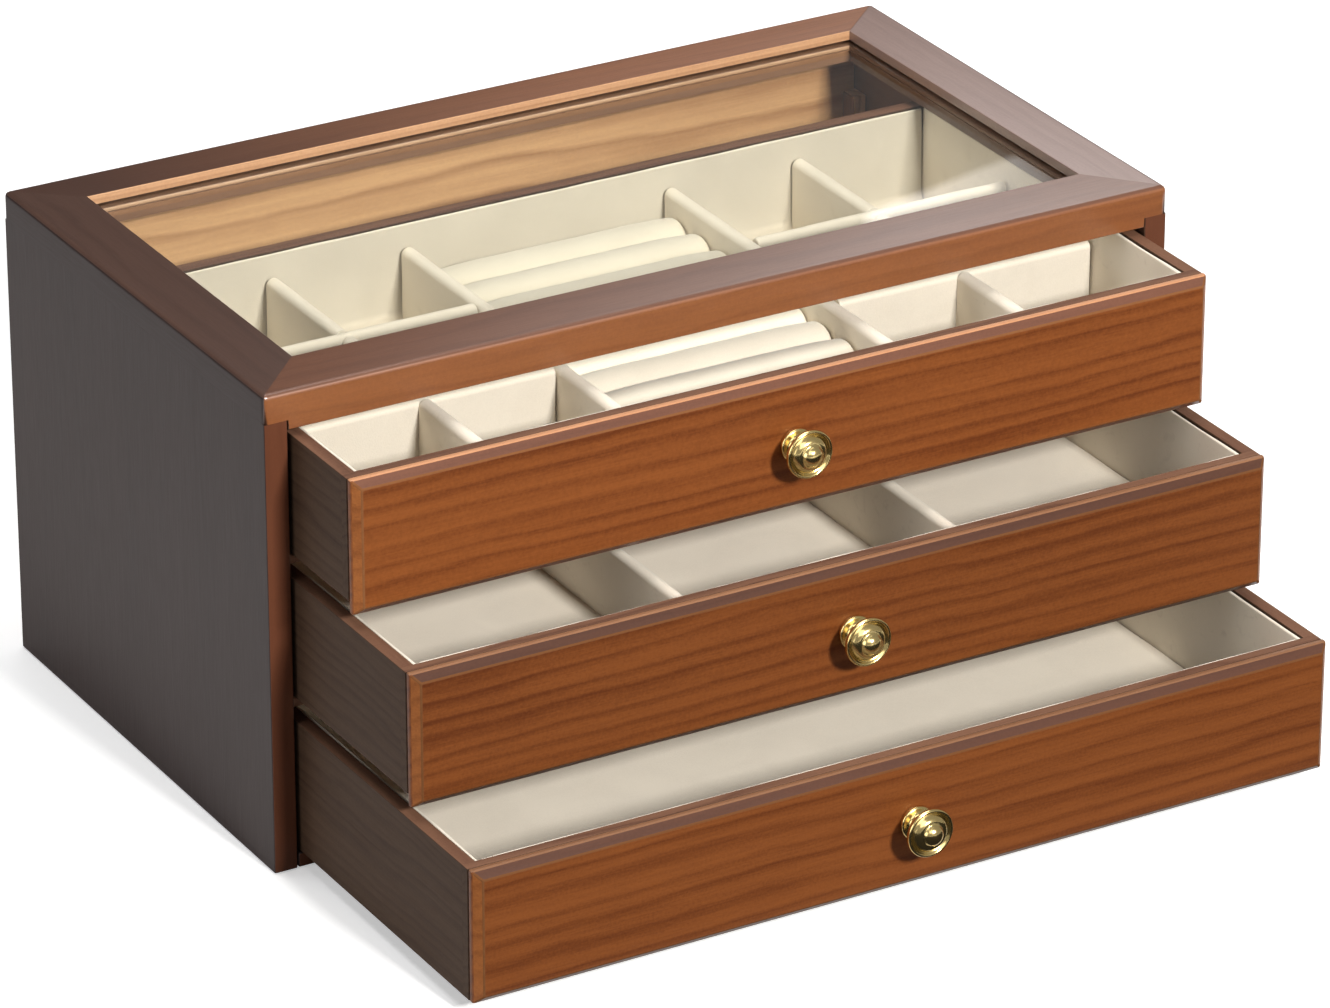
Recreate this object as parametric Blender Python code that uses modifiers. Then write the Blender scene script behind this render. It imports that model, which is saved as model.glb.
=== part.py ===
"""Jewellery organizer: a wooden cabinet with a glass top and three lined drawers.

Metres, +Z up. The origin is the centre of the cabinet's underside, X runs to the
right, and the drawers open towards -Y. They stand open as DRAWERS says.
"""

from math import radians, sqrt

import bmesh
import bpy
from mathutils import Matrix, Vector

# Fits that the whole piece shares
SEAT_GAP = 0.0003
CUT_OVERRUN = 0.002
EASED_EDGE = 0.0004
ROUND_SEGMENTS = 3

# Cabinet
CABINET_WIDTH = 0.285
CABINET_DEPTH = 0.1594
CABINET_HEIGHT = 0.1429
SIDE_PANEL_THICKNESS = 0.007
BACK_PANEL_THICKNESS = 0.003
BOTTOM_BOARD_THICKNESS = 0.0044
CORNER_POST_WIDTH = 0.0045
CORNER_POST_DEPTH = 0.0065
CORNER_POST_HEADROOM = 0.0145
DUST_BOARD_THICKNESS = 0.003
DUST_BOARD_SETBACK = 0.0025

# Mitred frame of the lid, with the glass held up into its rebate
RAIL_THICKNESS = 0.0113
RAIL_SHOULDER = 0.0028
FRONT_RAIL_WIDTH = 0.0194
BACK_RAIL_WIDTH = 0.0157
LEFT_RAIL_WIDTH = 0.0186
RIGHT_RAIL_WIDTH = 0.0171
FRAME_EDGE_RADIUS = 0.0016
GLASS_LIP = 0.0029
GLASS_REBATE = 0.004
GLASS_THICKNESS = 0.002

# Drawer boxes. Their own y runs back from the outer edge of the front panel
SIDE_CLEARANCE = 0.0012
TOP_REVEAL = 0.0016
FRONT_SPACING = 0.00355
BACK_CLEARANCE = 0.0037
FRONT_EDGE = 0.0016
FRONT_BEVEL = 0.0024
FRONT_WALL_THICKNESS = 0.0031
SIDE_WALL_THICKNESS = 0.0041
BACK_WALL_THICKNESS = 0.0045
DRAWER_BOTTOM_THICKNESS = 0.003
RIM_DROP = 0.0003

# Padded linings, dividers and ring rolls
LINING_WALL = 0.0015
LINING_FLOOR = 0.003
LINING_DROP = 0.0004
DIVIDER_DROP = 0.0065
CROSS_DIVIDER_THICKNESS = 0.0043
COLUMN_DIVIDER_THICKNESS = 0.0037
DIVIDER_ROUNDING = 0.0016
ROLL_PITCH = 0.0134
ROLL_HEIGHT = 0.0176
ROLL_BACK_SPACE = 0.0031
ROLL_END_RADIUS = 0.0012
ROLL_SIDES = 16

# Dividers' centres, as shares of the lining's inner width or depth
CROSS_DIVIDER_SHARES = (1 / 6, 1 / 3, 2 / 3, 5 / 6)
ROW_DIVIDER_SHARES = (1 / 3, 2 / 3)
COLUMN_DIVIDER_SHARES = (0.334, 0.671)

# Knobs. The outline runs down the outer side, from the dome's tip to the flange
KNOB_RADIUS = 0.0071
KNOB_LENGTH = 0.0114
KNOB_STEPS = 20
STUD_RADIUS = 0.002
STUD_SIDES = 12
KNOB_OUTLINE_SHARES = (
    (0.0, 1.0),
    (0.28, 0.985),
    (0.48, 0.93),
    (0.57, 0.87),
    (0.7, 0.86),
    (0.78, 0.92),
    (0.87, 0.935),
    (0.96, 0.89),
    (1.0, 0.81),
    (0.97, 0.73),
    (0.8, 0.62),
    (0.56, 0.48),
    (0.43, 0.34),
    (0.43, 0.22),
    (0.53, 0.15),
    (0.69, 0.13),
    (0.72, 0.09),
)

# Each drawer's name and how far its front stands ahead of the cabinet's, from the top down
DRAWERS = (("drawer_top", 0.0329), ("drawer_middle", 0.0643), ("drawer_bottom", 0.0971))

# Places that follow from the sizes
PANEL_INSIDE = CABINET_WIDTH / 2 - SIDE_PANEL_THICKNESS
FRONT_PLANE = -CABINET_DEPTH / 2
BACK_PANEL_FACE = CABINET_DEPTH / 2 - BACK_PANEL_THICKNESS
POST_FACE = BACK_PANEL_FACE - SEAT_GAP - CORNER_POST_DEPTH
RAIL_UNDERSIDE = CABINET_HEIGHT - RAIL_THICKNESS
RAIL_SEAT = RAIL_UNDERSIDE + RAIL_SHOULDER
LIP_UNDERSIDE = CABINET_HEIGHT - GLASS_LIP
GLASS_UNDERSIDE = LIP_UNDERSIDE - SEAT_GAP - GLASS_THICKNESS

LOWEST_FRONT = BOTTOM_BOARD_THICKNESS + SEAT_GAP
STACK_HEIGHT = RAIL_UNDERSIDE - TOP_REVEAL - LOWEST_FRONT
DRAWER_HEIGHT = (STACK_HEIGHT - (len(DRAWERS) - 1) * FRONT_SPACING) / len(DRAWERS)
DRAWER_PITCH = DRAWER_HEIGHT + FRONT_SPACING
DRAWER_HALF_WIDTH = PANEL_INSIDE - SIDE_CLEARANCE
DRAWER_LENGTH = POST_FACE - BACK_CLEARANCE - FRONT_PLANE
RIM_HEIGHT = DRAWER_HEIGHT - RIM_DROP
LINING_TOP = RIM_HEIGHT - LINING_DROP
DIVIDER_TOP = LINING_TOP - DIVIDER_DROP

# Faces of a drawer's walls and lining, in the drawer's own place
WALL_FACE = FRONT_EDGE + SEAT_GAP
BOX_FRONT_INSIDE = WALL_FACE + FRONT_WALL_THICKNESS
BOX_SIDE_INSIDE = DRAWER_HALF_WIDTH - SIDE_WALL_THICKNESS
BOX_BACK_INSIDE = DRAWER_LENGTH - BACK_WALL_THICKNESS
LINED_HALF_WIDTH = BOX_SIDE_INSIDE - SEAT_GAP - LINING_WALL
LINED_FRONT = BOX_FRONT_INSIDE + SEAT_GAP + LINING_WALL
LINED_BACK = BOX_BACK_INSIDE - SEAT_GAP - LINING_WALL

# Finishes: colour, roughness, metallic
FINISHES = {
    "dark_wood": ((0.07, 0.055, 0.055), 0.35, 0.0),
    "front_wood": ((0.26, 0.08, 0.027), 0.3, 0.0),
    "inner_wood": ((0.19, 0.075, 0.035), 0.45, 0.0),
    "golden_wood": ((0.62, 0.36, 0.15), 0.45, 0.0),
    "glass": ((0.85, 0.9, 0.88), 0.05, 0.0),
    "brass": ((0.55, 0.36, 0.2), 0.25, 1.0),
    "cream_fabric": ((0.76, 0.7, 0.58), 0.9, 0.0),
}


def empty_scene():
    """Remove what the scene holds."""
    for item in list(bpy.data.objects):
        bpy.data.objects.remove(item, do_unlink=True)


def new_collection(name):
    """A collection under the scene's own."""
    collection = bpy.data.collections.new(name)
    bpy.context.scene.collection.children.link(collection)
    return collection


def new_material(name, finish):
    """A Principled material with one of the finishes."""
    colour, roughness, metallic = FINISHES[finish]
    material = bpy.data.materials.new(name)
    material.use_nodes = True
    shader = material.node_tree.nodes["Principled BSDF"]
    shader.inputs["Base Color"].default_value = (*colour, 1)
    shader.inputs["Roughness"].default_value = roughness
    shader.inputs["Metallic"].default_value = metallic
    if finish == "glass":
        shader.inputs["Transmission Weight"].default_value = 1
    return material


empty_scene()
PARTS = new_collection("jewellery_organizer")
CUTTERS = new_collection("cutters")


def block(low, high):
    """A box between two corners, round its own origin, and its place."""
    size = Vector(high) - Vector(low)
    shape = bmesh.new()
    bmesh.ops.create_cube(shape, size=1, matrix=Matrix.Diagonal((*size, 1)))
    return shape, (Vector(low) + Vector(high)) / 2


def round_edges(shape, radius, segments, wanted):
    """Round the edges whose two ends the test accepts."""
    edges = [edge for edge in shape.edges if wanted(edge.verts[0].co, edge.verts[1].co)]
    bmesh.ops.bevel(shape, geom=edges, offset=radius, segments=segments, profile=0.5, affect="EDGES")


def add_part(name, shape, place, finish, carrier=None):
    """Put a shape in the scene as one part, on its carrier."""
    mesh = bpy.data.meshes.new(name)
    shape.to_mesh(mesh)
    shape.free()
    part = bpy.data.objects.new(name, mesh)
    part.location = place
    part.parent = carrier
    mesh.materials.append(new_material(name, finish))
    PARTS.objects.link(part)
    return part


def add_board(name, low, high, finish, carrier=None):
    """A board between two corners, with its edges eased."""
    shape, place = block(low, high)
    round_edges(shape, EASED_EDGE, 1, lambda start, end: True)
    return add_part(name, shape, place, finish, carrier)


def add_cutter(name, shape, place, carrier=None):
    """A hidden shape that cuts parts."""
    mesh = bpy.data.meshes.new(name)
    shape.to_mesh(mesh)
    shape.free()
    cutter = bpy.data.objects.new(name, mesh)
    cutter.location = place
    cutter.parent = carrier
    cutter.hide_render = True
    cutter.display_type = "WIRE"
    CUTTERS.objects.link(cutter)
    return cutter


def add_modifier_cut(part, cutter, operation="DIFFERENCE"):
    """Cut the part with the cutter, or keep only what lies inside it."""
    cut = part.modifiers.new(cutter.name, "BOOLEAN")
    cut.operation = operation
    cut.object = cutter


def build_carcass():
    """Side panels, bottom, back, corner posts and the shelves between the drawers."""
    between = PANEL_INSIDE - SEAT_GAP
    panel_top = RAIL_SEAT - SEAT_GAP
    inner_top = RAIL_UNDERSIDE - SEAT_GAP
    board_top = BOTTOM_BOARD_THICKNESS
    post_bottom = board_top + SEAT_GAP
    back = CABINET_DEPTH / 2
    post_back = BACK_PANEL_FACE - SEAT_GAP
    for side, name in ((-1, "left"), (1, "right")):
        faces = sorted((side * PANEL_INSIDE, side * CABINET_WIDTH / 2))
        low = (faces[0], FRONT_PLANE, 0)
        high = (faces[1], back, panel_top)
        add_board("side_panel_" + name, low, high, "dark_wood")
        faces = sorted((side * between, side * (between - CORNER_POST_WIDTH)))
        low = (faces[0], POST_FACE, post_bottom)
        high = (faces[1], post_back, RAIL_UNDERSIDE - CORNER_POST_HEADROOM)
        add_board("corner_post_" + name, low, high, "golden_wood")
    add_board("bottom_board", (-between, FRONT_PLANE, 0), (between, post_back, board_top), "dark_wood")
    add_board("back_panel", (-between, BACK_PANEL_FACE, 0), (between, back, inner_top), "golden_wood")
    shelf_front = FRONT_PLANE + DUST_BOARD_SETBACK
    shelf_back = POST_FACE - SEAT_GAP
    for level, name in ((1, "lower"), (2, "upper")):
        underside = LOWEST_FRONT + level * DRAWER_PITCH
        low = (-between, shelf_front, underside)
        high = (between, shelf_back, underside + DUST_BOARD_THICKNESS)
        add_board("dust_board_" + name, low, high, "inner_wood")


def mitre_wedge(name, turn, length, depth, width, near_width, far_width):
    """The cutter that keeps one rail: a bar whose inner corners are drawn in by its neighbours."""
    relief = SEAT_GAP * sqrt(0.5)
    low = (-length / 2 + relief, 0, RAIL_UNDERSIDE - CUT_OVERRUN)
    high = (length / 2 - relief, width, CABINET_HEIGHT + CUT_OVERRUN)
    shape, place = block(low, high)
    for vert in shape.verts:
        if vert.co.y > 0:
            vert.co.x += near_width if vert.co.x < 0 else -far_width
    bmesh.ops.translate(shape, verts=shape.verts, vec=place)
    cutter = add_cutter(name, shape, (0, 0, 0))
    cutter.rotation_euler.z = radians(turn)
    cutter.location = Matrix.Rotation(radians(turn), 3, "Z") @ Vector((0, -depth / 2, 0))
    return cutter


def build_top_frame():
    """Four mitred rails, cut from one rounded slab, with a shoulder between the side panels."""
    half_width = CABINET_WIDTH / 2
    half_depth = CABINET_DEPTH / 2
    opening_low = Vector((-half_width + LEFT_RAIL_WIDTH, -half_depth + FRONT_RAIL_WIDTH, 0))
    opening_high = Vector((half_width - RIGHT_RAIL_WIDTH, half_depth - BACK_RAIL_WIDTH, 0))
    over = Vector((0, 0, CABINET_HEIGHT + CUT_OVERRUN))
    under = Vector((0, 0, RAIL_UNDERSIDE - CUT_OVERRUN))
    rebate = Vector((GLASS_REBATE, GLASS_REBATE, 0))
    opening = add_cutter("frame_opening", *block(opening_low + under, opening_high + over))
    lip = Vector((0, 0, LIP_UNDERSIDE))
    seat = add_cutter("glass_rebate", *block(opening_low - rebate + under, opening_high + rebate + lip))
    notches = []
    for side, name in ((-1, "left"), (1, "right")):
        faces = sorted((side * (PANEL_INSIDE - SEAT_GAP), side * (half_width + CUT_OVERRUN)))
        low = (faces[0], -half_depth - CUT_OVERRUN, RAIL_UNDERSIDE - CUT_OVERRUN)
        high = (faces[1], half_depth + CUT_OVERRUN, RAIL_SEAT)
        notches.append(add_cutter("panel_seat_" + name, *block(low, high)))
    rails = (
        ("front", 0, CABINET_WIDTH, CABINET_DEPTH, FRONT_RAIL_WIDTH, LEFT_RAIL_WIDTH, RIGHT_RAIL_WIDTH),
        ("right", 90, CABINET_DEPTH, CABINET_WIDTH, RIGHT_RAIL_WIDTH, FRONT_RAIL_WIDTH, BACK_RAIL_WIDTH),
        ("back", 180, CABINET_WIDTH, CABINET_DEPTH, BACK_RAIL_WIDTH, RIGHT_RAIL_WIDTH, LEFT_RAIL_WIDTH),
        ("left", 270, CABINET_DEPTH, CABINET_WIDTH, LEFT_RAIL_WIDTH, BACK_RAIL_WIDTH, FRONT_RAIL_WIDTH),
    )
    for name, turn, length, depth, width, near_width, far_width in rails:
        low = (-half_width, -half_depth, RAIL_UNDERSIDE)
        shape, place = block(low, (half_width, half_depth, CABINET_HEIGHT))
        round_edges(
            shape,
            FRAME_EDGE_RADIUS,
            ROUND_SEGMENTS,
            lambda start, end: max(start.z, end.z) > 0,
        )
        rail = add_part("top_rail_" + name, shape, place, "dark_wood")
        wedge = mitre_wedge("mitre_" + name, turn, length, depth, width, near_width, far_width)
        add_modifier_cut(rail, wedge, "INTERSECT")
        for cutter in (opening, seat, *notches):
            add_modifier_cut(rail, cutter)
    add_glass(opening_low, opening_high)


def add_glass(opening_low, opening_high):
    """The pane in the rebate and the bead that keeps it there."""
    reach = GLASS_REBATE - SEAT_GAP
    edge = Vector((reach, reach, 0))
    low = opening_low - edge
    high = opening_high + edge
    pane_low = (low.x, low.y, GLASS_UNDERSIDE)
    add_board("glass_pane", pane_low, (high.x, high.y, GLASS_UNDERSIDE + GLASS_THICKNESS), "glass")
    shape, place = block((low.x, low.y, RAIL_UNDERSIDE), (high.x, high.y, GLASS_UNDERSIDE - SEAT_GAP))
    bead = add_part("glass_retainer_frame", shape, place, "dark_wood")
    under = Vector((0, 0, RAIL_UNDERSIDE - CUT_OVERRUN))
    over = Vector((0, 0, GLASS_UNDERSIDE + CUT_OVERRUN))
    add_modifier_cut(bead, add_cutter("bead_opening", *block(opening_low + under, opening_high + over)))


def add_drawer_front(name, carrier, box_bottom):
    """The bevelled panel, the box's own front wall and the hole for the knob's stud."""
    low = (-DRAWER_HALF_WIDTH, -FRONT_BEVEL, 0)
    shape, place = block(low, (DRAWER_HALF_WIDTH, FRONT_EDGE, DRAWER_HEIGHT))
    round_edges(shape, FRONT_BEVEL, 1, lambda start, end: max(start.y, end.y) < 0)
    panel = add_part(name + "_front", shape, place, "front_wood", carrier)
    low = (-DRAWER_HALF_WIDTH, WALL_FACE, box_bottom)
    high = (DRAWER_HALF_WIDTH, BOX_FRONT_INSIDE, RIM_HEIGHT)
    wall = add_board(name + "_front_wall", low, high, "inner_wood", carrier)
    hole = bmesh.new()
    radius = STUD_RADIUS + SEAT_GAP
    depth = 2 * (BOX_FRONT_INSIDE + FRONT_BEVEL + CUT_OVERRUN)
    bmesh.ops.create_cone(
        hole, cap_ends=True, segments=STUD_SIDES, radius1=radius, radius2=radius, depth=depth,
        matrix=Matrix.Rotation(radians(90), 4, "X"),
    )
    drill = add_cutter(name + "_stud_hole", hole, (0, 0, DRAWER_HEIGHT / 2), carrier)
    add_modifier_cut(panel, drill)
    add_modifier_cut(wall, drill)


def add_knob(name, carrier):
    """A turned knob: domed head in a rolled rim, waisted neck, flange and stud."""
    stud_length = FRONT_BEVEL + BOX_FRONT_INSIDE - SEAT_GAP
    outline = [(share * KNOB_RADIUS, height * KNOB_LENGTH) for share, height in KNOB_OUTLINE_SHARES]
    flange = outline[-1][0]
    outline += [(flange, SEAT_GAP), (STUD_RADIUS, SEAT_GAP), (STUD_RADIUS, -stud_length), (0, -stud_length)]
    shape = bmesh.new()
    verts = [shape.verts.new((radius, 0, height)) for radius, height in outline]
    for start, end in zip(verts, verts[1:]):
        shape.edges.new((start, end))
    knob = add_part(name + "_knob", shape, (0, -FRONT_BEVEL, DRAWER_HEIGHT / 2), "brass", carrier)
    knob.rotation_euler.x = radians(90)
    turning = knob.modifiers.new("turning", "SCREW")
    turning.axis = "Z"
    turning.steps = KNOB_STEPS
    turning.render_steps = KNOB_STEPS
    turning.use_merge_vertices = True
    turning.merge_threshold = SEAT_GAP / 10


def add_drawer_box(name, carrier, box_bottom):
    """Two sides, the back between them and the bottom inside all four walls."""
    side_front = BOX_FRONT_INSIDE + SEAT_GAP
    for side, end in ((-1, "left"), (1, "right")):
        faces = sorted((side * DRAWER_HALF_WIDTH, side * BOX_SIDE_INSIDE))
        low = (faces[0], side_front, box_bottom)
        high = (faces[1], DRAWER_LENGTH, RIM_HEIGHT)
        add_board(name + "_side_" + end, low, high, "inner_wood", carrier)
    inside = BOX_SIDE_INSIDE - SEAT_GAP
    low = (-inside, BOX_BACK_INSIDE, box_bottom)
    add_board(name + "_back", low, (inside, DRAWER_LENGTH, RIM_HEIGHT), "inner_wood", carrier)
    low = (-inside, side_front, box_bottom)
    high = (inside, BOX_BACK_INSIDE - SEAT_GAP, box_bottom + DRAWER_BOTTOM_THICKNESS)
    add_board(name + "_bottom", low, high, "inner_wood", carrier)


def add_lining(name, carrier, floor):
    """The padded tray: a block hollowed from above."""
    low = (-LINED_HALF_WIDTH - LINING_WALL, LINED_FRONT - LINING_WALL, floor - LINING_FLOOR)
    high = (LINED_HALF_WIDTH + LINING_WALL, LINED_BACK + LINING_WALL, LINING_TOP)
    shape, place = block(low, high)
    lining = add_part(name + "_lining", shape, place, "cream_fabric", carrier)
    low = (-LINED_HALF_WIDTH, LINED_FRONT, floor)
    high = (LINED_HALF_WIDTH, LINED_BACK, LINING_TOP + CUT_OVERRUN)
    add_modifier_cut(lining, add_cutter(name + "_hollow", *block(low, high), carrier))


def across(share):
    """A place across the lined width."""
    return -LINED_HALF_WIDTH + share * 2 * LINED_HALF_WIDTH


def along(share):
    """A place along the lined depth, from the front."""
    return LINED_FRONT + share * (LINED_BACK - LINED_FRONT)


def add_divider(name, low, high, carrier):
    """A padded divider with its top rounded along its length."""
    shape, place = block(low, high)
    axis = 0 if high[0] - low[0] > high[1] - low[1] else 1
    round_edges(
        shape,
        DIVIDER_ROUNDING,
        ROUND_SEGMENTS,
        lambda start, end: min(start.z, end.z) > 0 and start[axis] != end[axis],
    )
    return add_part(name, shape, place, "cream_fabric", carrier)


def lap_cutter(name, column, row, low, high, carrier):
    """The slot that a crossing divider sits in."""
    half = CROSS_DIVIDER_THICKNESS / 2 + SEAT_GAP
    return add_cutter(name, *block((column - half, row - half, low), (column + half, row + half, high)), carrier)


def fill_top_drawer(carrier, floor):
    """Dividers front to back, shorter ones lapped across them, and ring rolls in the middle."""
    half = CROSS_DIVIDER_THICKNESS / 2
    bottom = floor + SEAT_GAP
    lap = (bottom + DIVIDER_TOP) / 2
    columns = [across(share) for share in CROSS_DIVIDER_SHARES]
    rows = [along(share) for share in ROW_DIVIDER_SHARES]
    crosses = []
    for number, column in enumerate(columns, 1):
        low = (column - half, LINED_FRONT + SEAT_GAP, bottom)
        high = (column + half, LINED_BACK - SEAT_GAP, DIVIDER_TOP)
        crosses.append(add_divider(f"cross_divider_{number}", low, high, carrier))
    reach = half + SEAT_GAP
    sides = (
        ("left", -LINED_HALF_WIDTH + SEAT_GAP, columns[1] - reach, columns[0], crosses[0]),
        ("right", columns[2] + reach, LINED_HALF_WIDTH - SEAT_GAP, columns[3], crosses[3]),
    )
    for side, start, end, crossed, cross in sides:
        for row, place in zip(rows, ("front", "back")):
            tag = f"{side}_{place}"
            low = (start, row - half, bottom)
            divider = add_divider("row_divider_" + tag, low, (end, row + half, DIVIDER_TOP), carrier)
            over = DIVIDER_TOP + CUT_OVERRUN
            under = bottom - CUT_OVERRUN
            upper = lap_cutter("upper_lap_" + tag, crossed, row, lap - SEAT_GAP / 2, over, carrier)
            lower = lap_cutter("lower_lap_" + tag, crossed, row, under, lap + SEAT_GAP / 2, carrier)
            add_modifier_cut(cross, upper)
            add_modifier_cut(divider, lower)
    add_ring_rolls(carrier, columns[1] + reach, columns[2] - reach, bottom)


def add_ring_rolls(carrier, start, end, bottom):
    """As many padded rolls as there is room for, side by side, that hold rings between them."""
    radius = (ROLL_PITCH - SEAT_GAP) / 2
    length = end - start
    stretch = ROLL_HEIGHT - 2 * radius
    room = LINED_BACK - ROLL_BACK_SPACE - LINED_FRONT
    for number in range(1, int(room / ROLL_PITCH) + 1):
        shape = bmesh.new()
        bmesh.ops.create_cone(
            shape, cap_ends=True, segments=ROLL_SIDES, radius1=radius, radius2=radius, depth=length,
            matrix=Matrix.Rotation(radians(90), 4, "Y"),
        )
        for vert in shape.verts:
            if vert.co.z < -SEAT_GAP:
                vert.co.z -= stretch
        round_edges(shape, ROLL_END_RADIUS, 2, lambda first, second: first.x * second.x > 0)
        centre_y = LINED_BACK - ROLL_BACK_SPACE - (number - 0.5) * ROLL_PITCH
        place = ((start + end) / 2, centre_y, bottom + ROLL_HEIGHT - radius)
        roll = add_part(f"ring_roll_{number}", shape, place, "cream_fabric", carrier)
        roll.data.shade_smooth()
        roll.data.set_sharp_from_angle(angle=radians(40))


def fill_middle_drawer(carrier, floor):
    """Two dividers front to back."""
    half = COLUMN_DIVIDER_THICKNESS / 2
    for number, share in enumerate(COLUMN_DIVIDER_SHARES, 1):
        low = (across(share) - half, LINED_FRONT + SEAT_GAP, floor + SEAT_GAP)
        high = (across(share) + half, LINED_BACK - SEAT_GAP, DIVIDER_TOP)
        add_divider(f"column_divider_{number}", low, high, carrier)


def build_drawers():
    """Three drawers on their slides. The lowest runs on the bottom board, the others on shelves."""
    for level, (name, pull) in enumerate(DRAWERS):
        slide = bpy.data.objects.new(name + "_slide", None)
        rise = len(DRAWERS) - 1 - level
        slide.location = (0, FRONT_PLANE - pull, LOWEST_FRONT + rise * DRAWER_PITCH)
        PARTS.objects.link(slide)
        box_bottom = DUST_BOARD_THICKNESS + SEAT_GAP if rise else 0
        floor = box_bottom + DRAWER_BOTTOM_THICKNESS + SEAT_GAP + LINING_FLOOR
        add_drawer_front(name, slide, box_bottom)
        add_knob(name, slide)
        add_drawer_box(name, slide, box_bottom)
        add_lining(name, slide, floor)
        if name == "drawer_top":
            fill_top_drawer(slide, floor)
        if name == "drawer_middle":
            fill_middle_drawer(slide, floor)


build_carcass()
build_top_frame()
build_drawers()
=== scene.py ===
"""Jewellery organizer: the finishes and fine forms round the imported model."""

from math import cos, pi, radians, sin

import bmesh
import bpy
from mathutils import Matrix, Vector, noise


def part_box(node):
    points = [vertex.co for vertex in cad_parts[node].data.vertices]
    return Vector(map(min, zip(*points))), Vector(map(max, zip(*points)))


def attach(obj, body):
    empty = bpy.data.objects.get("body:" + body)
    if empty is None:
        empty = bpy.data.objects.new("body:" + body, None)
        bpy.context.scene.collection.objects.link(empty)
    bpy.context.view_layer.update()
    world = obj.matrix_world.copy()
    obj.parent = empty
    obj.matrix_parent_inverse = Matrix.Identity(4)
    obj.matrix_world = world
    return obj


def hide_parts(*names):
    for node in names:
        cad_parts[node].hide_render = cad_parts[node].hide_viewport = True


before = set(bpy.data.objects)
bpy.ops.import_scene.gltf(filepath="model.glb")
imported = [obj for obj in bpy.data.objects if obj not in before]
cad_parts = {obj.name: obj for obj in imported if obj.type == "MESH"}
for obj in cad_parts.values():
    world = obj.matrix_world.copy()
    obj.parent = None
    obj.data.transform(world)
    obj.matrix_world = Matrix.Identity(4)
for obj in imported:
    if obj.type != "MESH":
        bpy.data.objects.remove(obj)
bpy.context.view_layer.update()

# The viewpoint: a long lens to the left of the cabinet's front and above it, heading right and
# down. It stands about two metres off, so the drawers' edges run almost parallel.
LENS = 199.98
SENSOR_WIDTH = 36
FAR_CLIP = 20
CAMERA_PLACE = (-0.93413, -1.66511, 0.95728)
HEADING = radians(29.961)
DIP = radians(25.551)
TILT = radians(0.031)
camera_data = bpy.data.cameras.new("camera")
camera_data.lens = LENS
camera_data.sensor_width = SENSOR_WIDTH
camera_data.clip_end = FAR_CLIP
camera = bpy.data.objects.new("camera", camera_data)
camera.location = CAMERA_PLACE
turn = Matrix.Rotation(-HEADING, 4, "Z") @ Matrix.Rotation(radians(90) - DIP, 4, "X")
camera.rotation_euler = (turn @ Matrix.Rotation(TILT, 4, "Z")).to_euler()
bpy.context.scene.collection.objects.link(camera)
bpy.context.scene.camera = camera
bpy.context.scene.view_settings.view_transform = "Standard"


# Every material is worked out as sums on sockets. A Signal is one socket, and an expression on
# Signals adds the Math nodes that it needs.
class Signal:
    """One output socket that shader maths can be written with."""

    def __init__(self, tree, socket):
        self.tree = tree
        self.socket = socket

    def node(self, kind, settings, inputs, out=0):
        """Add any node: its settings first, then the values or links of its sockets."""
        made = self.tree.nodes.new(kind)
        for name, value in settings.items():
            if name == "stops":
                ramp = made.color_ramp
                while len(ramp.elements) < len(value):
                    ramp.elements.new(0)
                for element, (position, colour) in zip(ramp.elements, value):
                    element.position = position
                    element.color = (*colour, 1)
            else:
                setattr(made, name, value)
        for name, value in inputs.items():
            if isinstance(value, Signal):
                self.tree.links.new(value.socket, made.inputs[name])
            else:
                made.inputs[name].default_value = value
        return Signal(self.tree, made.outputs[out])

    def maths(self, operation, first, second):
        return self.node("ShaderNodeMath", {"operation": operation}, {0: first, 1: second})

    def __add__(self, other):
        return self.maths("ADD", self, other)

    def __radd__(self, other):
        return self.maths("ADD", other, self)

    def __sub__(self, other):
        return self.maths("SUBTRACT", self, other)

    def __rsub__(self, other):
        return self.maths("SUBTRACT", other, self)

    def __mul__(self, other):
        return self.maths("MULTIPLY", self, other)

    def __rmul__(self, other):
        return self.maths("MULTIPLY", other, self)

    def clamped(self):
        """Held between 0 and 1."""
        return self.node("ShaderNodeClamp", {}, {0: self})

    def axis(self, index):
        """One of a vector's three numbers."""
        return self.node("ShaderNodeSeparateXYZ", {}, {0: self}, out=index)

    def blend(self, first, second):
        """Between two colours, by this mask."""
        inputs = {0: self, 6: first, 7: second}
        return self.node("ShaderNodeMix", {"data_type": "RGBA"}, inputs, out=2)

    def feed(self, shader, name):
        """Link this signal to one of a shader's sockets."""
        self.tree.links.new(self.socket, shader.inputs[name])


# The backdrop: a plain pale floor, white to the eye, which keeps the shadow, in a soft room that
# is white to the eye and dim in reflections. Three cards that only reflections see stand in for
# the studio: a black one before the fronts, a softbox at the upper left, and a pale one behind.
ROOM_FILL = 0.07
ROOM_SHINE = 0.3
FLOOR_REACH = 3
FLOOR_DROP = 0.0002
FLOOR_PALE = (0.9, 0.9, 0.9, 1)
FLOOR_BOUNCE = (0.3, 0.3, 0.3, 1)
FLOOR_GLOW = 0.4
FAR_START = 0.7
FAR_RISE = 2.5
FAR_WHITE = (2.5, 2.5, 2.5, 1)
WHITE = (1, 1, 1, 1)
NO_COLOUR = (0, 0, 0, 1)


def new_finish(name, settings):
    """A new material, its nodes and its shader, with the shader's plain settings."""
    made = bpy.data.materials.new(name)
    made.use_nodes = True
    shader = made.node_tree.nodes["Principled BSDF"]
    for socket, value in settings.items():
        shader.inputs[socket].default_value = value
    return made, made.node_tree, shader


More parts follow.
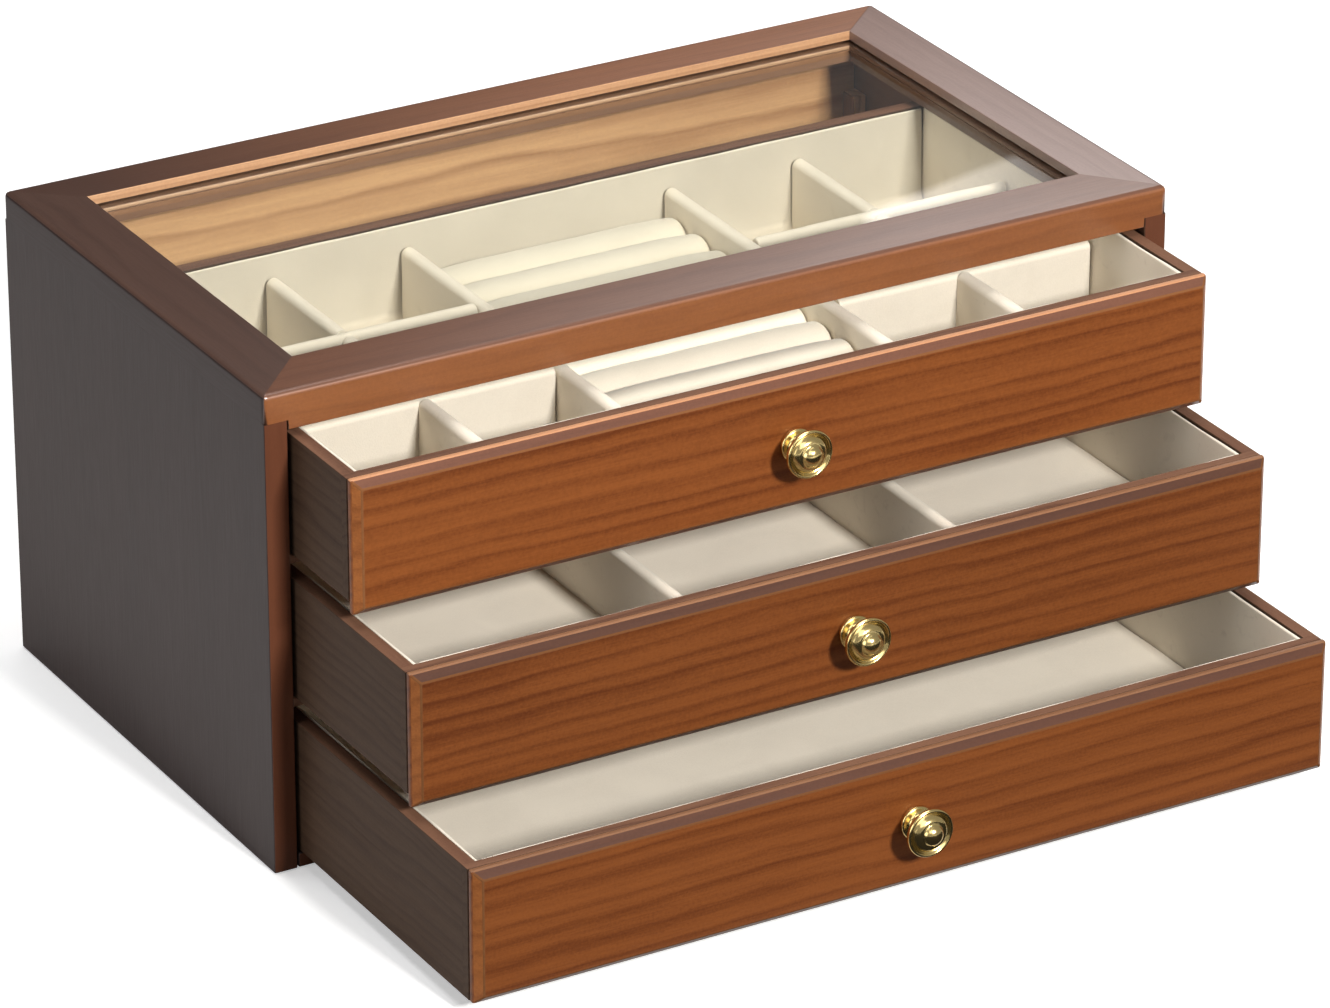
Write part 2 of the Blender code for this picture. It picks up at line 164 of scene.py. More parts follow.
def shaped(name, shape, finishes):
    """A new object in the scene, with a shape and its finishes."""
    data = bpy.data.meshes.new(name)
    shape.to_mesh(data)
    shape.free()
    for finish in finishes:
        data.materials.append(finish)
    made = bpy.data.objects.new(name, data)
    bpy.context.scene.collection.objects.link(made)
    return made


def seen(tree, kind):
    """1 for one kind of ray, and 0 for the others."""
    return Signal(tree, None).node("ShaderNodeLightPath", {}, {}, out=kind)


world = bpy.data.worlds.new("room")
world.use_nodes = True
world_tree = world.node_tree
world_shader = world_tree.nodes["Background"]
world_shader.inputs["Color"].default_value = WHITE
straight = (1 - seen(world_tree, "Glossy Depth")).clamped()
through_glass = seen(world_tree, "Is Transmission Ray") * straight
white_rays = (seen(world_tree, "Is Camera Ray") + through_glass).clamped()
shine = seen(world_tree, "Is Glossy Ray") * (ROOM_SHINE - ROOM_FILL)
strength = ROOM_FILL + shine + white_rays * (1 - ROOM_FILL)
strength.clamped().feed(world_shader, "Strength")
bpy.context.scene.world = world

floor_finish, floor_tree, floor_shader = new_finish("floor_white", {"Roughness": 0.8})
seen(floor_tree, "Is Diffuse Ray").blend(FLOOR_PALE, FLOOR_BOUNCE).feed(floor_shader, "Base Color")
spot = Signal(floor_tree, None).node("ShaderNodeTexCoord", {}, {}, out="Object")
away = spot.node("ShaderNodeVectorMath", {"operation": "LENGTH"}, {0: spot}, out="Value")
distant = ((away - FAR_START) * FAR_RISE).clamped().blend(WHITE, FAR_WHITE)
distant.feed(floor_shader, "Emission Color")
to_the_eye = (seen(floor_tree, "Is Camera Ray") + seen(floor_tree, "Is Transmission Ray")).clamped()
(to_the_eye * FLOOR_GLOW).feed(floor_shader, "Emission Strength")
floor_shape = bmesh.new()
bmesh.ops.create_grid(floor_shape, x_segments=1, y_segments=1, size=FLOOR_REACH)
floor = shaped("floor", floor_shape, [floor_finish])
floor.location.z = -FLOOR_DROP


def card(name, finish, corners):
    """A flat card between four corners, for reflections alone."""
    shape = bmesh.new()
    shape.faces.new([shape.verts.new(corner) for corner in corners])
    made = shaped(name, shape, [finish])
    for ray in ("camera", "diffuse", "transmission", "volume_scatter", "shadow"):
        setattr(made, "visible_" + ray, False)


# The black card lies flat on the floor, between two distances in front of the cabinet.
DARK_SIDE = 0.9
DARK_NEAR = -0.95
DARK_FAR = -0.185
DARK_HEIGHT = 0.002
black = new_finish("black_card", {"Base Color": (0.02, 0.02, 0.02, 1), "Specular IOR Level": 0})[0]
dark_corners = (
    (-DARK_SIDE, DARK_NEAR), (DARK_SIDE, DARK_NEAR), (DARK_SIDE, DARK_FAR), (-DARK_SIDE, DARK_FAR),
)
card("front_card", black, [(x, y, DARK_HEIGHT) for x, y in dark_corners])

SOFTBOX_CORNERS = ((-1.3, -1.5, 0.9), (-0.2, -1.9, 0.9), (-0.2, -1.2, 1.9), (-1.2, -0.9, 1.9))
SOFTBOX_LIGHT = 2.2
softbox = new_finish(
    "softbox_card", {"Base Color": NO_COLOUR, "Emission Color": WHITE, "Emission Strength": SOFTBOX_LIGHT}
)[0]
card("upper_card", softbox, SOFTBOX_CORNERS)

# The pale card stands behind, dark but for a band that the lid's polish mirrors, and a patch
# in the corner that shows as a streak on the glass.
PALE_LEFT = -1.2
PALE_RIGHT = 0.8
PALE_PLACE = 0.5
PALE_FOOT = 0.05
PALE_TOP = 0.66
PALE_LIGHT = 3.03
PALE_LEAST = 0.01
PALE_TINT = (1, 0.97, 0.95, 1)
BAND_FOOT = 0.43
BAND_CRISP = 40
BAND_START = 0.18
BAND_RISE = 4
PATCH_FOOT = 0.4755
PATCH_SLANT = 0.15
PATCH_CRISP = 260
PATCH_START = 0.398
PATCH_RISE = 160
PATCH_FADE = 9
PATCH_END = 4.6
glow, glow_tree, glow_shader = new_finish(
    "pale_card", {"Base Color": NO_COLOUR, "Specular IOR Level": 0, "Emission Strength": PALE_LIGHT}
)
place = Signal(glow_tree, None).node("ShaderNodeTexCoord", {}, {}, out="Object")
card_x, card_z = place.axis(0), place.axis(2)
band = ((card_z - BAND_FOOT) * BAND_CRISP).clamped() * ((card_x - BAND_START) * BAND_RISE).clamped()
patch = ((card_z + card_x * PATCH_SLANT - PATCH_FOOT) * PATCH_CRISP).clamped()
patch = patch * ((card_x - PATCH_START) * PATCH_RISE).clamped() * (PATCH_END - card_x * PATCH_FADE).clamped()
lit = (band + patch).clamped() * (1 - PALE_LEAST) + PALE_LEAST
lit.blend(NO_COLOUR, PALE_TINT).feed(glow_shader, "Emission Color")
pale_corners = (
    (PALE_LEFT, PALE_FOOT), (PALE_RIGHT, PALE_FOOT), (PALE_RIGHT, PALE_TOP), (PALE_LEFT, PALE_TOP),
)
card("back_card", glow, [(x, PALE_PLACE, z) for x, z in pale_corners])

AIM_HEIGHT = 0.07


def lamp(name, bearing, height, distance, size, watts, colour=(1, 1, 1)):
    """A square lamp that looks at the cabinet. The bearing is from the front, towards the right."""
    data = bpy.data.lights.new(name, "AREA")
    data.shape = "SQUARE"
    data.size = size
    data.energy = watts
    data.color = colour
    across, up = radians(bearing), radians(height)
    away = Vector((sin(across) * cos(up), -cos(across) * cos(up), sin(up)))
    light = bpy.data.objects.new(name, data)
    light.location = away * distance + Vector((0, 0, AIM_HEIGHT))
    light.rotation_euler = away.to_track_quat("Z", "Y").to_euler()
    bpy.context.scene.collection.objects.link(light)


KEY_WARMTH = (1, 0.98, 0.95)
lamp("key_lamp", bearing=4, height=28.5, distance=2.6, size=0.3, watts=83, colour=KEY_WARMTH)
lamp("top_lamp", bearing=190, height=82, distance=2.0, size=1.4, watts=26)
lamp("side_lamp", bearing=-122, height=8, distance=2.4, size=1.2, watts=10.5)
lamp("fill_lamp", bearing=-80, height=16, distance=2.2, size=1.2, watts=11)

# Side panels: two solid boards, stained a dark reddish brown and lacquered, with rounded edges and
# browner inner faces. Painted shade turns every other face almost black-brown but the front edges,
# where the stain shows. The lid's rails lie on their top edges, and the drawers run between them.
MM = 1000
EARLYWOOD = 0.4
LATEWOOD = 0.78
# How far a face turns to the lamps before it keeps its own colours instead of painted light.
LIT_FROM = 0.74
LIT_CRISP = 6
# Where painted shade begins to deepen towards the left, and how fast.
LEFT_SHADE_PLACE = 0.12
LEFT_SHADE_FADE = 6
SPECK_SCALE = 1300.0


def wood(
    name, pale, dark, along, seed, painted_light=None, lit_faces=("front",), left_shade=None,
    streak=0.5, spacing=4.0, wave=1.0, fibre=0.3, rough=0.36, coat=0.0, shine=0.5,
):
    """A lacquered wood whose grain runs along one axis, in millimetres. Every face but the lit ones,
    those turned to the lamps, takes a second pale and dark pair instead: painted shade, and on some
    rails painted sheen, for how the light falls. It can also darken towards the left, painted shade."""
    made, tree, shader = new_finish(
        name, {"Specular IOR Level": shine, "Coat Weight": coat, "Coat Roughness": 0.25}
    )
    tool = Signal(tree, None)
    place = tool.node("ShaderNodeTexCoord", {}, {}, out="Object")
    order = {"X": (0, 2, 1), "Y": (1, 2, 0), "Z": (2, 0, 1)}[along]
    length, across, through = (place.axis(index) * MM for index in order)

    def grain(stretch, fine, detail, coarse=0.5):
        """Noise drawn out along the grain: its scale along and across, per millimetre."""
        places = {0: length * stretch + seed, 1: across * fine + seed, 2: through * fine}
        at = tool.node("ShaderNodeCombineXYZ", {}, places)
        inputs = {"Vector": at, "Scale": 1.0, "Detail": detail, "Roughness": coarse}
        return tool.node("ShaderNodeTexNoise", {}, inputs)

    drift = grain(0.006, 0.02, 1.0)
    uneven = grain(0.004, 0.11, 1.0)
    ripple = grain(0.04, 0.05, 1.5)
    ring = (across + through * 0.6) * (1 / spacing) + drift * (wave * 4)
    ring = ring + uneven * (wave * 2 + 0.5) + ripple * (wave * 1.1) + seed
    phase = tool.node("ShaderNodeMath", {"operation": "FRACT"}, {0: ring})
    stops = ((0.0, (0, 0, 0)), (EARLYWOOD, (0.15, 0.15, 0.15)), (LATEWOOD, (1, 1, 1)), (1.0, (0, 0, 0)))
    band = tool.node("ShaderNodeValToRGB", {"stops": stops}, {0: phase})
    patch = grain(0.009, 0.06, 2.0)
    thread = grain(0.1, 2.2, 4.0, 0.6)
    strand = grain(0.012, 0.5, 3.0)
    speck = tool.node("ShaderNodeTexNoise", {}, {"Vector": place, "Scale": SPECK_SCALE, "Detail": 2.0})
    shade = band * (patch * 1.2 + 0.3) * streak + (strand - 0.5) * streak * 0.9
    shade = shade + (thread - 0.5) * (fibre * 2) + (speck - 0.5) * (fibre * 1.8)
    shade = (shade + (patch - 0.5) * 0.6 + 0.2).clamped()
    colour = shade.blend((*pale, 1), (*dark, 1))
    # Painted light: faces not turned to the lamps take painted shade, and on some rails painted sheen.
    if painted_light:
        facing = tool.node("ShaderNodeTexCoord", {}, {}, out="Normal")
        lamp_facing = 0
        if "front" in lit_faces:
            lamp_facing = lamp_facing - facing.axis(1)
        if "top" in lit_faces:
            lamp_facing = lamp_facing + facing.axis(2)
        shade_and_sheen_colour = shade.blend((*painted_light[0], 1), (*painted_light[1], 1))
        # Painted shade that deepens towards the left, where the polish mirrors less sheen.
        if left_shade:
            from_left = ((place.axis(0) + LEFT_SHADE_PLACE) * LEFT_SHADE_FADE).clamped()
            shade_and_sheen_colour = from_left.blend((*left_shade, 1), shade_and_sheen_colour)
        colour = ((lamp_facing - LIT_FROM) * LIT_CRISP).clamped().blend(shade_and_sheen_colour, colour)
    colour.feed(shader, "Base Color")
    (rough + (thread - 0.5) * 0.16).feed(shader, "Roughness")
    relief = {"Strength": 0.12, "Distance": 0.0002, "Height": thread + band * 0.4}
    tool.node("ShaderNodeBump", {}, relief).feed(shader, "Normal")
    return made


MERGE_DISTANCE = 0.00001
FLAT_ANGLE = radians(1)
SHARP_ANGLE = radians(35)
LIE_DISTANCE = 0.0001


def plain(node, crisp=0.0):
    """A CAD board's own form with its flat faces whole again, and its small chamfers filled."""
    shape = bmesh.new()
    shape.from_mesh(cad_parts[node].data)
    low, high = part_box(node)
    for vert in shape.verts:
        for axis in range(3):
            for end in (low[axis], high[axis]):
                if abs(vert.co[axis] - end) < crisp:
                    vert.co[axis] = end
    bmesh.ops.remove_doubles(shape, verts=shape.verts, dist=MERGE_DISTANCE)
    bmesh.ops.dissolve_degenerate(shape, dist=MERGE_DISTANCE, edges=shape.edges)
    bmesh.ops.dissolve_limit(shape, angle_limit=FLAT_ANGLE, verts=shape.verts, edges=shape.edges)
    shape.normal_update()
    return shape


def rounded(shape, radius, segments=2, kept=lambda edge: False):
    """Round a shape's sharp edges, all but those that are kept as they are."""
    sharp = [edge for edge in shape.edges if edge.calc_face_angle(0) > SHARP_ANGLE and not kept(edge)]
    bmesh.ops.bevel(
        shape, geom=sharp, offset=radius, segments=segments, profile=0.5, affect="EDGES", clamp_overlap=True
    )
    return shape


def lies(edge, axis, place):
    """Whether an edge lies at one place along an axis."""
    return all(abs(vert.co[axis] - place) < LIE_DISTANCE for vert in edge.verts)


def piece(name, shape, body, finishes, node, crease=40):
    """Put a shape on a body, with its finishes, in the place of a CAD node."""
    made = shaped(name, shape, finishes)
    made.data.shade_smooth()
    made.data.set_sharp_from_angle(angle=radians(crease))
    even = made.modifiers.new("even_shading", "WEIGHTED_NORMAL")
    even.keep_sharp = True
    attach(made, body)
    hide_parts(node)
    return made


STAIN = ((0.13, 0.043, 0.02), (0.06, 0.019, 0.009))
# Painted shade: almost black on every face of the panels but their front edges and inner faces.
PANEL_PAINTED_SHADE = ((0.033, 0.018, 0.0155), (0.021, 0.0108, 0.0095))
INNER_GLAZE = ((0.15, 0.075, 0.045), (0.09, 0.042, 0.024))
PANEL_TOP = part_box("side_panel_left")[1].z
PANEL_ROUND = 0.0004
RAIL_FOOT = 0.1344
CHAMFER = 0.00045
TOUCH = 0.00002
INWARD_SHARE = 0.9
panel_wood = wood(
    "panel_wood", *STAIN, "Z", 3.1, painted_light=PANEL_PAINTED_SHADE,
    streak=0.12, spacing=9, fibre=0.08, rough=0.45, shine=0.2,
)
inner_wood = wood("inner_wood", *INNER_GLAZE, "Y", 5.3, streak=0.2, fibre=0.1, rough=0.5, shine=0.2)
for side, inward in (("left", 1), ("right", -1)):
    node = "side_panel_" + side
    board = plain(node, CHAMFER)
    for vert in board.verts:
        if vert.co.z > PANEL_TOP - CHAMFER:
            vert.co.z = RAIL_FOOT - TOUCH
    rounded(board, PANEL_ROUND, kept=lambda edge: lies(edge, 2, RAIL_FOOT - TOUCH))
    for face in board.faces:
        face.material_index = int(face.normal.x * inward > INWARD_SHARE)
    piece(node + "_board", board, "cabinet", [panel_wood, inner_wood], node)

# Bottom, back, corner posts and shelves: thin boards between the side panels. The back and the
# posts are left a light golden colour, which shows under the glass; the posts take a brown painted
# shade on all but their front and top faces, and the bottom takes the side panels' painted shade.
GOLDEN = ((0.86, 0.52, 0.26), (0.4, 0.19, 0.08))
# Painted shade: brown on the posts' faces but the front and top.
POST_PAINTED_SHADE = ((0.2, 0.09, 0.045), (0.12, 0.05, 0.025))
SHELF_BROWN = ((0.2, 0.08, 0.035), (0.1, 0.035, 0.015))
THIN_ROUND = 0.0002
POST_ROUND = 0.0004
golden_wood = wood(
    "golden_wood", *GOLDEN, "X", 7.7, streak=0.6, spacing=9, wave=0.4, fibre=0.15, rough=0.42
)
post_wood = wood("post_wood", *GOLDEN, "Z", 8.9, painted_light=POST_PAINTED_SHADE, lit_faces=("front", "top"))
shelf_wood = wood("shelf_wood", *SHELF_BROWN, "X", 1.3, rough=0.5)
for node, name, finish, slot, radius in (
    ("back_panel", "back_panel_board", golden_wood, "golden_wood", THIN_ROUND),
    ("bottom_board", "bottom_board_wood", panel_wood, "dark_wood", THIN_ROUND),
    ("dust_board_upper", "dust_board_upper_wood", shelf_wood, "inner_wood", THIN_ROUND),
    ("dust_board_lower", "dust_board_lower_wood", shelf_wood, "inner_wood", THIN_ROUND),
    ("corner_post_left", "corner_post_left_wood", post_wood, "golden_wood", POST_ROUND),
    ("corner_post_right", "corner_post_right_wood", post_wood, "golden_wood", POST_ROUND),
):
    piece(name, rounded(plain(node), radius), "cabinet", [finish], node)

# The lid's frame: four rails, mitred at the corners and rounded outside, stained redder than the
# panels and polished. The back one's inner lip is left pale. Every face but the front-facing ones
# takes painted light, a pair for each rail: painted shade on the front and left rails, painted
# sheen on the back and right ones, with painted shade deepening towards the back rail's left end.
# The left and right ones take the panels' almost black painted shade on their outer sides.
RAIL_WOOD = ((0.25, 0.086, 0.026), (0.145, 0.042, 0.012))
# Painted light on all but the rails' front-facing faces: painted shade on the front and left rails, painted
# sheen on the back and right ones.
RAIL_SHADE_AND_SHEEN = {
    "front": ((0.15, 0.06, 0.031), (0.085, 0.03, 0.015)),
    "back": ((0.27, 0.112, 0.055), (0.17, 0.065, 0.032)),
    "left": ((0.085, 0.044, 0.032), (0.05, 0.025, 0.018)),
    "right": ((0.25, 0.16, 0.135), (0.165, 0.1, 0.084)),
}
# Painted shade deepening towards the back rail's left end, where less sheen is mirrored.
BACK_LEFT_SHADE = (0.07, 0.034, 0.024)
LIP_PALE = ((0.6, 0.34, 0.18), (0.38, 0.18, 0.08))
MITRE_GAP = 0.00029
MITRE_SHARE = 0.6
RAIL_ROUND = 0.00025
LIP_SHARE = 0.2
ENDWISE_SHARE = 0.3
OUTER_SHARE = 0.9
lip_wood = wood("lip_wood", *LIP_PALE, "X", 2.9, streak=0.6, spacing=2.5, wave=0.2, rough=0.4)
# The side rails' outer faces take the panels' painted shade as their colour.
rail_end_wood = wood("rail_end_wood", *PANEL_PAINTED_SHADE, "Y", 3.7, streak=0.12, fibre=0.08, rough=0.45, shine=0.2)
for side, along, seed, inward in (
    ("front", "X", 2.2, (0, 1, 0)), ("back", "X", 5.1, (0, -1, 0)),
    ("left", "Y", 6.4, (1, 0, 0)), ("right", "Y", 9.2, (-1, 0, 0)),
):
    node = "top_rail_" + side
    left_shade = BACK_LEFT_SHADE if side == "back" else None
    rail_wood = wood(
        node + "_wood", *RAIL_WOOD, along, seed, painted_light=RAIL_SHADE_AND_SHEEN[side], left_shade=left_shade,
        streak=0.3, spacing=5, rough=0.34, coat=0.7,
    )
    shape = plain(node)
    mitres = [face for face in shape.faces if min(abs(face.normal.x), abs(face.normal.y)) > MITRE_SHARE]
    axis = "XY".index(along)
    for vert in {vert for face in mitres for vert in face.verts}:
        vert.co[axis] += MITRE_GAP if vert.co[axis] > 0 else -MITRE_GAP
    seams = {edge for face in mitres for edge in face.edges}
    rounded(shape, RAIL_ROUND, kept=lambda edge: edge in seams or lies(edge, 2, RAIL_FOOT))
    shape.normal_update()
    for face in shape.faces:
        facing = face.normal.dot(Vector(inward))
        if side == "back" and facing > LIP_SHARE and abs(face.normal.x) < ENDWISE_SHARE:
            face.material_index = 1
        elif along == "Y" and facing < -OUTER_SHARE:
            face.material_index = 2
    piece(node + "_bar", shape, "cabinet", [rail_wood, lip_wood, rail_end_wood], node)


# The bead under the glass: thin strips with a rounded nose over a face set slightly back, mitred
# into a ring that holds the glass up in its rebate. The nose is painted pale, a painted highlight,
# and the face below it browner, painted shade; all strips but the back one take a darker painted shade.
def swept(rings, capped=True):
    """A skin through rings of as many points each, closed at its ends or run on into a loop."""
    shape = bmesh.new()
    rows = [[shape.verts.new(point) for point in ring] for ring in rings]
    follow = rows[1:] if capped else rows[1:] + rows[:1]
    for near, far in zip(rows, follow):
        for index in range(len(near)):
            after = (index + 1) % len(near)
            shape.faces.new((near[index], near[after], far[after], far[index]))
    if capped:
        shape.faces.new(reversed(rows[0]))
        shape.faces.new(rows[-1])
    bmesh.ops.recalc_face_normals(shape, faces=shape.faces)
    return shape


BEAD_NOSE = 0.0022
BEAD_SETBACK = 0.0007
BEAD_STEP = 0.0002
NOSE_STEPS = 8
# Painted shade on the strips turned from the lamps, a painted highlight on the nose, and painted shade on the
# face below it.
BEAD_SIDE_SHADE = ((0.12, 0.06, 0.035), (0.07, 0.034, 0.02))
BEAD_NOSE_HIGHLIGHT = ((0.6, 0.4, 0.26), (0.4, 0.25, 0.15))
BEAD_FACE_SHADE = ((0.3, 0.16, 0.09), (0.2, 0.1, 0.055))
bead_low, bead_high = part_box("glass_retainer_frame")
bead_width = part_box("top_rail_left")[1].x - bead_low.x
nose = BEAD_NOSE / 2
nose_foot = bead_high.z - BEAD_NOSE
bead_outline = [(0, bead_high.z), (bead_width - nose, bead_high.z)]
bead_outline += [
    (bead_width - nose + nose * sin(turn), bead_high.z - nose + nose * cos(turn))
    for turn in (pi * step / NOSE_STEPS for step in range(1, NOSE_STEPS))
]
bead_outline += [
    (bead_width - nose, nose_foot), (bead_width - BEAD_SETBACK, nose_foot - BEAD_STEP),
    (bead_width - BEAD_SETBACK, bead_low.z), (0, bead_low.z),
]
bead_rings = [
    [
        (
            bead_high.x - inset if right else bead_low.x + inset,
            bead_high.y - inset if back else bead_low.y + inset,
            height,
        )
        for inset, height in bead_outline
    ]
    for right, back in ((0, 0), (1, 0), (1, 1), (0, 1))
]
bead = swept(bead_rings, capped=False)
for face in bead.faces:
    if face.calc_center_median().z < nose_foot:
        face.material_index = 1
bead_nose_highlight = wood(
    "bead_nose_highlight", *BEAD_NOSE_HIGHLIGHT, "X", 4.4, painted_light=BEAD_SIDE_SHADE, streak=0.5, spacing=2, fibre=0.15
)
bead_face_shade = wood("bead_face_shade", *BEAD_FACE_SHADE, "X", 4.9, painted_light=BEAD_SIDE_SHADE, streak=0.3)
piece("glass_bead", bead, "cabinet", [bead_nose_highlight, bead_face_shade], "glass_retainer_frame", crease=50)

# The glass: one clear pane with its edges ground round, let into the rebate from below. Lamps
# shine straight through it, with a faint tint.
GLASS_TINT = (0.985, 0.985, 0.97, 1)
GLASS_PASSING = (0.98, 0.98, 0.95, 1)
GLASS_ROUND = 0.00005
glass, glass_tree, glass_shader = new_finish(
    "clear_glass", {"Base Color": GLASS_TINT, "Roughness": 0.0, "IOR": 1.5, "Transmission Weight": 1}
)
shining = Signal(glass_tree, glass_shader.outputs[0])
open_air = shining.node("ShaderNodeBsdfTransparent", {}, {"Color": GLASS_PASSING})
passing = (seen(glass_tree, "Is Shadow Ray") + seen(glass_tree, "Is Diffuse Ray")).clamped()
clear = shining.node("ShaderNodeMixShader", {}, {0: passing, 1: shining, 2: open_air})
clear.feed(glass_tree.nodes["Material Output"], "Surface")
piece("glass_sheet", rounded(plain("glass_pane"), GLASS_ROUND), "cabinet", [glass], "glass_pane")

# Drawer fronts: thin panels of streaky reddish wood under a satin lacquer, with a wide flat
# bevel all round. The upper and lower bevels are a darker brown. The arris takes a pale painted
# highlight, partly wear, the flat top and bottom rims a painted sheen, and the side bevels are
# painted brighter than the face as painted light. Each pair is a pale and a dark colour, toned for
# each drawer from the top down.
LEVELS = ("drawer_top", "drawer_middle", "drawer_bottom")
FRONT_TONES = (0.66, 0.535, 0.55)
BEVEL_TONES = (0.9, 0.48, 0.53)
RIM_TONES = (0.56, 0.27, 0.23)
ARRIS_TONES = (0.215, 0.15, 0.15)
FACE_RED = ((0.34, 0.1, 0.021), (0.17, 0.04, 0.007))
# Painted light: the side bevels brighter than the face.
SIDE_BEVEL_LIT_RED = ((0.46, 0.155, 0.038), (0.25, 0.07, 0.015))
BEVEL_BROWN = ((0.18, 0.076, 0.046), (0.1, 0.041, 0.027))
# Painted highlight along the arris, partly wear.
ARRIS_HIGHLIGHT_AND_WEAR = ((1, 0.42, 0.17), (0.75, 0.28, 0.11))
# Painted sheen on the flat top and bottom rims.
RIM_SHEEN = ((1, 0.48, 0.24), (0.7, 0.3, 0.14))
FRONT_GRAIN = {"spacing": 5.6, "wave": 0.42, "fibre": 0.42, "rough": 0.42, "shine": 0.25}
FRONT_ROUND = 0.0008
FRONT_ROUND_STEPS = 4
SLOPE_MATCH = 0.02
BEVEL_SHARE = 0.5
ARRIS_SHARES = (0.76, 0.99)
RIM_SHARE = 0.65
RIM_UPWARD_SHARE = 0.3
FACE, BEVEL, ARRIS, RIM, SIDE_BEVEL = range(5)


def toned(pair, tone):
    """A pair of colours, dimmed alike."""
    return [tuple(part * tone for part in colour) for colour in pair]


def front_finish(normal):
    """Which of a front's finishes a face has, by the way it looks."""
    forward = -normal.y
    if forward > BEVEL_SHARE and abs(abs(normal.z) - forward) < SLOPE_MATCH:
        return BEVEL
    if forward > BEVEL_SHARE and abs(abs(normal.x) - forward) < SLOPE_MATCH:
        return SIDE_BEVEL
    if ARRIS_SHARES[0] < forward < ARRIS_SHARES[1]:
        return ARRIS
    if forward < RIM_SHARE and abs(normal.z) > RIM_UPWARD_SHARE:
        return RIM
    return FACE


for level, name in enumerate(LEVELS):
    node = name + "_front"
    face_red = toned(FACE_RED, FRONT_TONES[level])
    side_lit_red = toned(SIDE_BEVEL_LIT_RED, FRONT_TONES[level])
    bevel_brown = toned(BEVEL_BROWN, BEVEL_TONES[level])
    arris_highlight_and_wear = toned(ARRIS_HIGHLIGHT_AND_WEAR, ARRIS_TONES[level])
    rim_sheen = toned(RIM_SHEEN, RIM_TONES[level])
    finishes = [
        wood(name + "_face_wood", *face_red, "X", 1.7 + 3.9 * level, streak=0.62, **FRONT_GRAIN),
        wood(name + "_bevel_wood", *bevel_brown, "X", 0.4 + level, streak=0.2, rough=0.35, shine=0.3),
        wood(name + "_arris_wood", *arris_highlight_and_wear, "X", 0.9, streak=0.2, rough=0.7, shine=0.0),
        wood(name + "_rim_wood", *rim_sheen, "X", 1.2 + level, streak=0.2, rough=0.4, shine=0.3),
        wood(name + "_side_bevel_wood", *side_lit_red, "X", 2.4 + level, streak=0.5, **FRONT_GRAIN),
    ]
    shape = rounded(plain(node), FRONT_ROUND, segments=FRONT_ROUND_STEPS)
    shape.normal_update()
    for face in shape.faces:
        face.material_index = front_finish(face.normal)
    piece(name + "_front_panel", shape, name, finishes, node)

# Drawer boxes: front wall, sides, back and bottom in plain boards, stained a dull brown, with a
# darker painted shade on every face but their top edges. The sides reach forward to the front wall.
BOX_BROWN = ((0.2, 0.1, 0.06), (0.1, 0.045, 0.028))
# Painted shade on every face of the boxes but their top edges.
BOX_PAINTED_SHADE = ((0.075, 0.043, 0.026), (0.042, 0.022, 0.013))
BOX_LACQUER_AND_SHADE = {"painted_light": BOX_PAINTED_SHADE, "lit_faces": ("top",), "rough": 0.6, "shine": 0.12}
BOX_ROUND = 0.0003
SIDE_REACH = 0.001
for level, name in enumerate(LEVELS):
    side_wood = wood(name + "_side_wood", *BOX_BROWN, "Y", 2.6 + level, **BOX_LACQUER_AND_SHADE)
    end_wood = wood(name + "_end_wood", *BOX_BROWN, "X", 4.6 + level, **BOX_LACQUER_AND_SHADE)
    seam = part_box(name + "_front_wall")[1].y
    for part, finish in (
        ("front_wall", end_wood), ("side_left", side_wood), ("side_right", side_wood),
        ("back", end_wood), ("bottom", end_wood),
    ):
        node = f"{name}_{part}"
        board = plain(node, CHAMFER)
        if part.startswith("side"):
            for vert in board.verts:
                if vert.co.y < seam + SIDE_REACH:
                    vert.co.y = seam + TOUCH
        rounded(board, BOX_ROUND, kept=lambda edge: lies(edge, 1, seam))
        piece(node + "_board", board, name, [finish], node)


# Linings: padded trays in short cream velvet. One sheet runs down the front wall, along the
# floor and up the back wall, with a soft hollow at each foot, between two padded sides.
VELVET = ((0.65, 0.6, 0.51), (0.54, 0.49, 0.41))
# Painted light: a gain that brightens velvet where it looks up or to the left.
PAINTED_LIGHT_GAIN = (1.42, 1.4, 1.37, 1)


